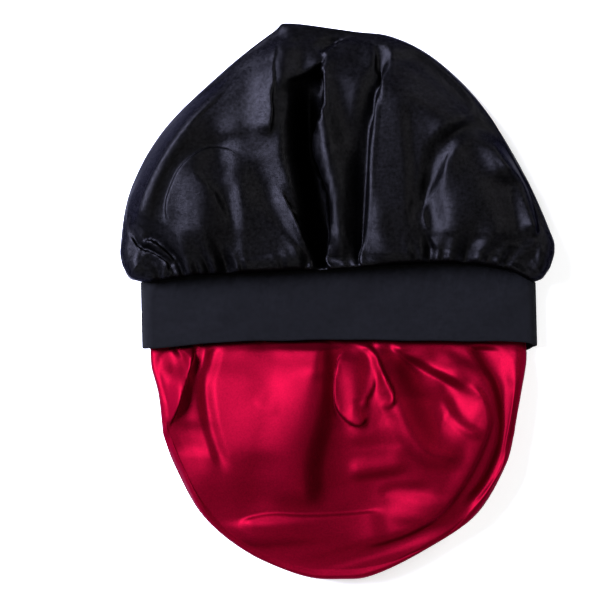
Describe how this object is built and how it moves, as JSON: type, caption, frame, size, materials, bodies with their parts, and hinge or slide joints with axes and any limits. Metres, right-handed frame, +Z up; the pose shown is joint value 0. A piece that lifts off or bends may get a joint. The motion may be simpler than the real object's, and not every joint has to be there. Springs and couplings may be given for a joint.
{
  "type": "sleep bonnet",
  "caption": "Flat-lying satin sleep bonnet with a puffed gathered crown, a wide jersey band and a satin lining drawn out through the band.",
  "frame": {"origin": "centre of the footprint's box on the surface that the bonnet lies on", "axes": "+Z up from the surface; +Y from the band towards the crown's far edge; +X along the band, to the right seen from above"},
  "size_m": [0.2962, 0.3785, 0.0592],
  "materials": {
    "black satin": "black satin weave with a soft sheen",
    "charcoal jersey": "matt charcoal knitted jersey",
    "wine red satin": "wine red satin weave with a bright sheen"
  },
  "bodies": {
    "root": {"crown": "black satin", "band": "charcoal jersey", "lining": "wine red satin"}
  },
  "joints": []
}
